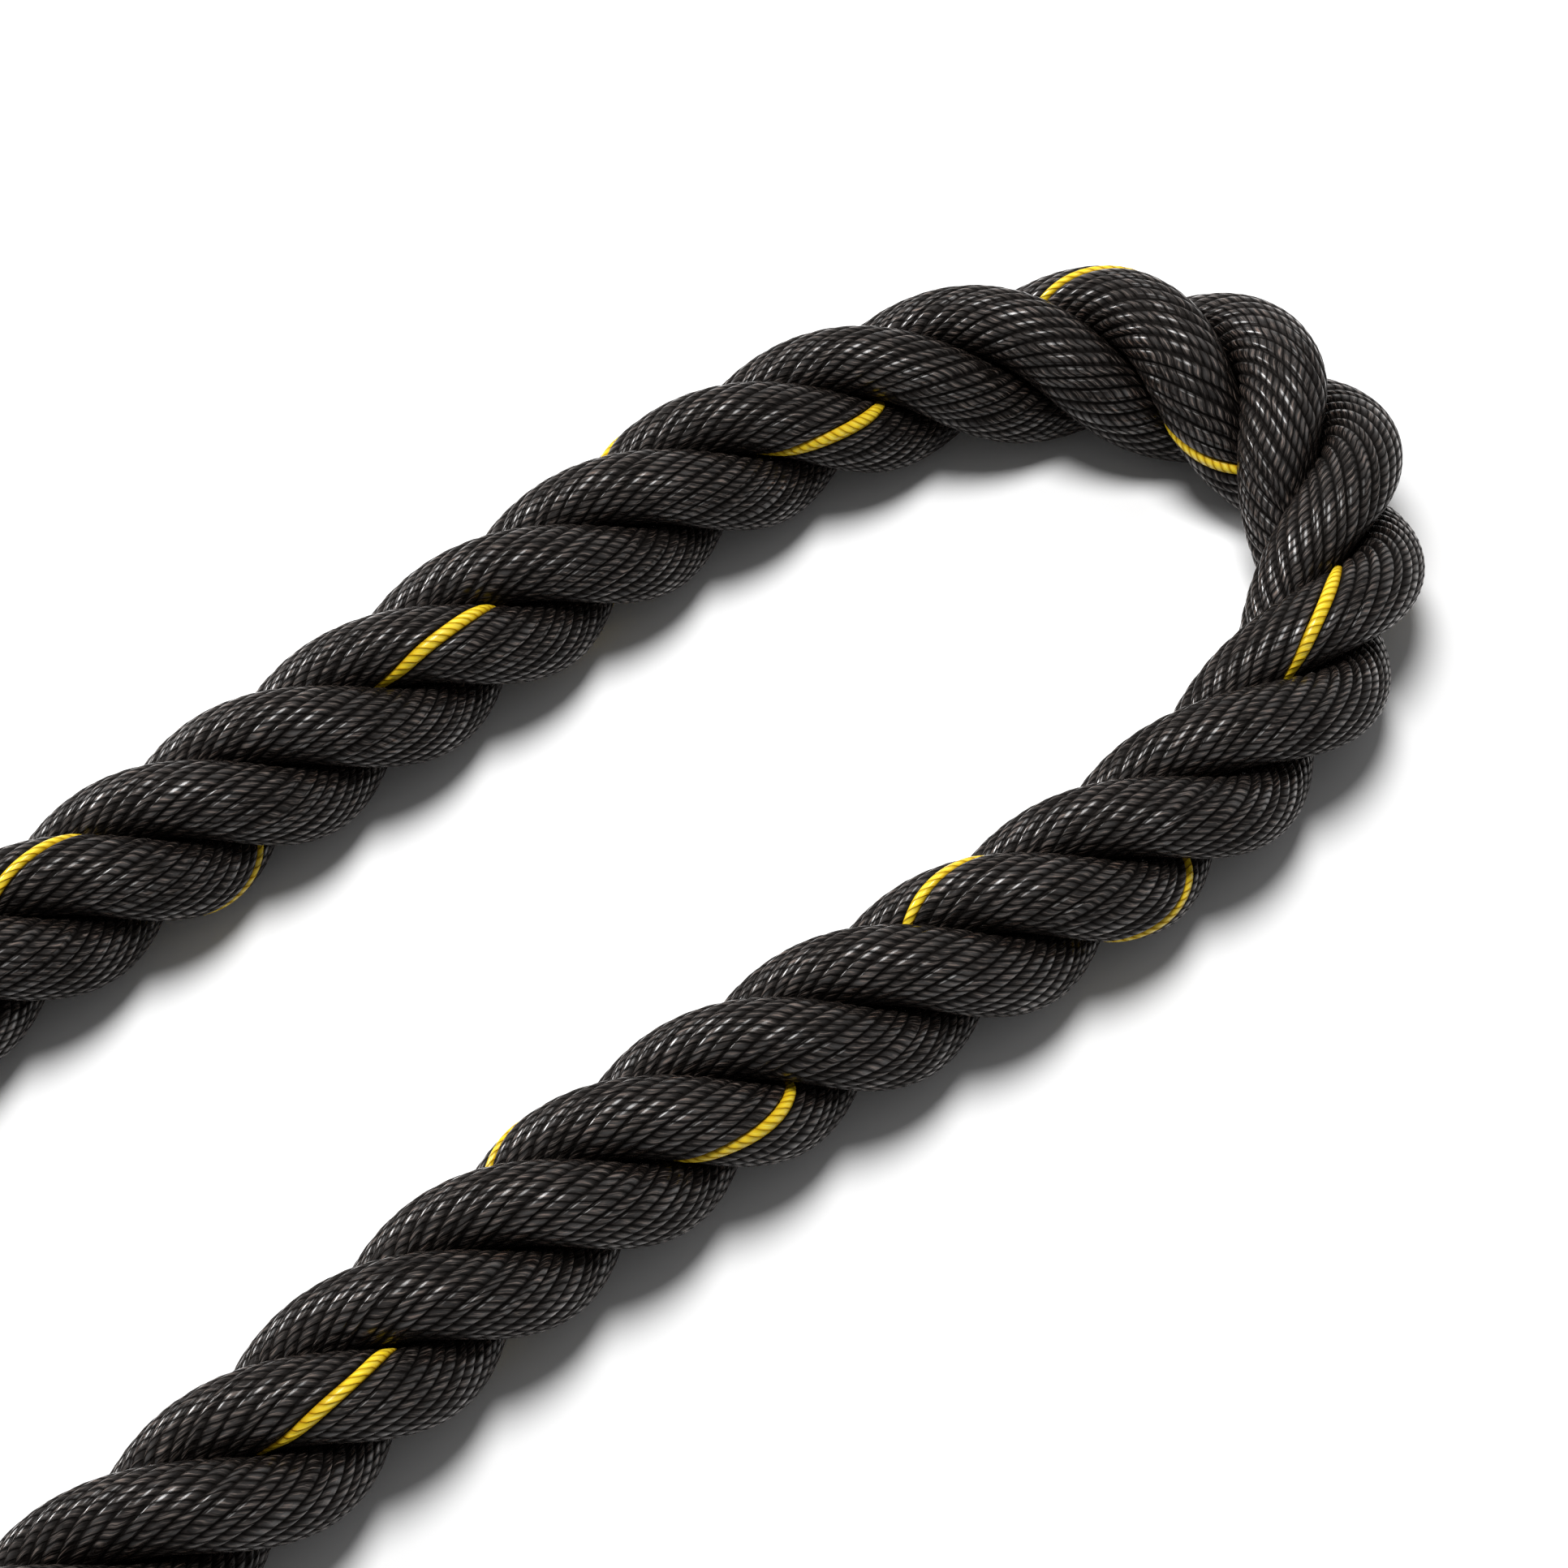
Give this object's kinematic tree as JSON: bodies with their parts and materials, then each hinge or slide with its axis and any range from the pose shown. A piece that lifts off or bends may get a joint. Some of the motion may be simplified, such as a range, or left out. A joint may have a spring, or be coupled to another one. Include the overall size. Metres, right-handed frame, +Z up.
{
  "type": "battle rope",
  "caption": "Heavy three-strand laid training rope with a tracer yarn and sleeved ends, doubled at its middle, its spare length put away as a doubled coil.",
  "frame": {"origin": "middle of the whole part's outline seen from above, on the floor it lies on", "axes": "+X along the two legs, from the coil towards the bight; +Y across the legs, towards the coil's far side; +Z up"},
  "size_m": [0.9458, 0.661, 0.0775],
  "materials": {
    "rope_yarn": "black twisted polyester yarn, satin",
    "end_tape": "black cloth-backed tape, matte",
    "sleeve": "black shrink sleeve, satin"
  },
  "bodies": {
    "root": {"strand_1": "rope_yarn", "strand_2": "rope_yarn", "strand_3": "rope_yarn", "coil_leg_a": "rope_yarn", "coil_leg_b": "rope_yarn", "end_binding_a": "end_tape", "end_binding_b": "end_tape", "grip_sleeve_a": "sleeve", "grip_sleeve_b": "sleeve"}
  },
  "joints": []
}
